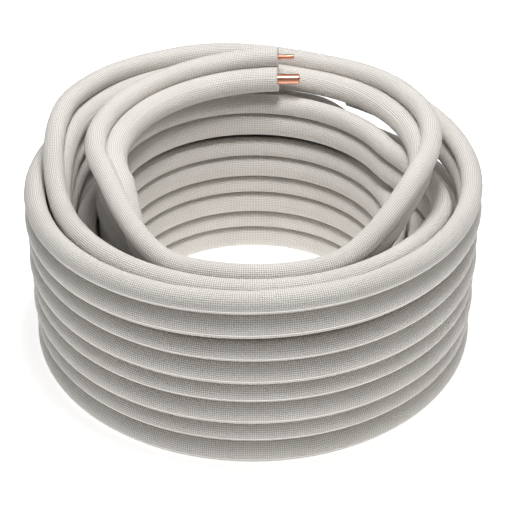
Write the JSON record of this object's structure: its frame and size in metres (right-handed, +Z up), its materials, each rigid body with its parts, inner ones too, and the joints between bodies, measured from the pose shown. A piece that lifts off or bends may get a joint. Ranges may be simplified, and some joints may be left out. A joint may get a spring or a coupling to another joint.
{
  "type": "insulated pair coil",
  "caption": "Flat coil of twin copper refrigerant line: a 6.35 mm and a 12.7 mm copper pipe in white foam sleeves, wound together.",
  "frame": {"origin": "middle of the coil's footprint on the floor", "axes": "+Z up along the coil's axis, -Y towards the side the picture shows, +X to the picture's right"},
  "size_m": [0.5412, 0.5412, 0.2955],
  "materials": {
    "foam": "matt embossed film on foam",
    "copper": "drawn copper, bright"
  },
  "bodies": {
    "root": {"suction_line_sleeve": "foam", "liquid_line_sleeve": "foam", "suction_line_pipe": "copper", "liquid_line_pipe": "copper"}
  },
  "joints": []
}
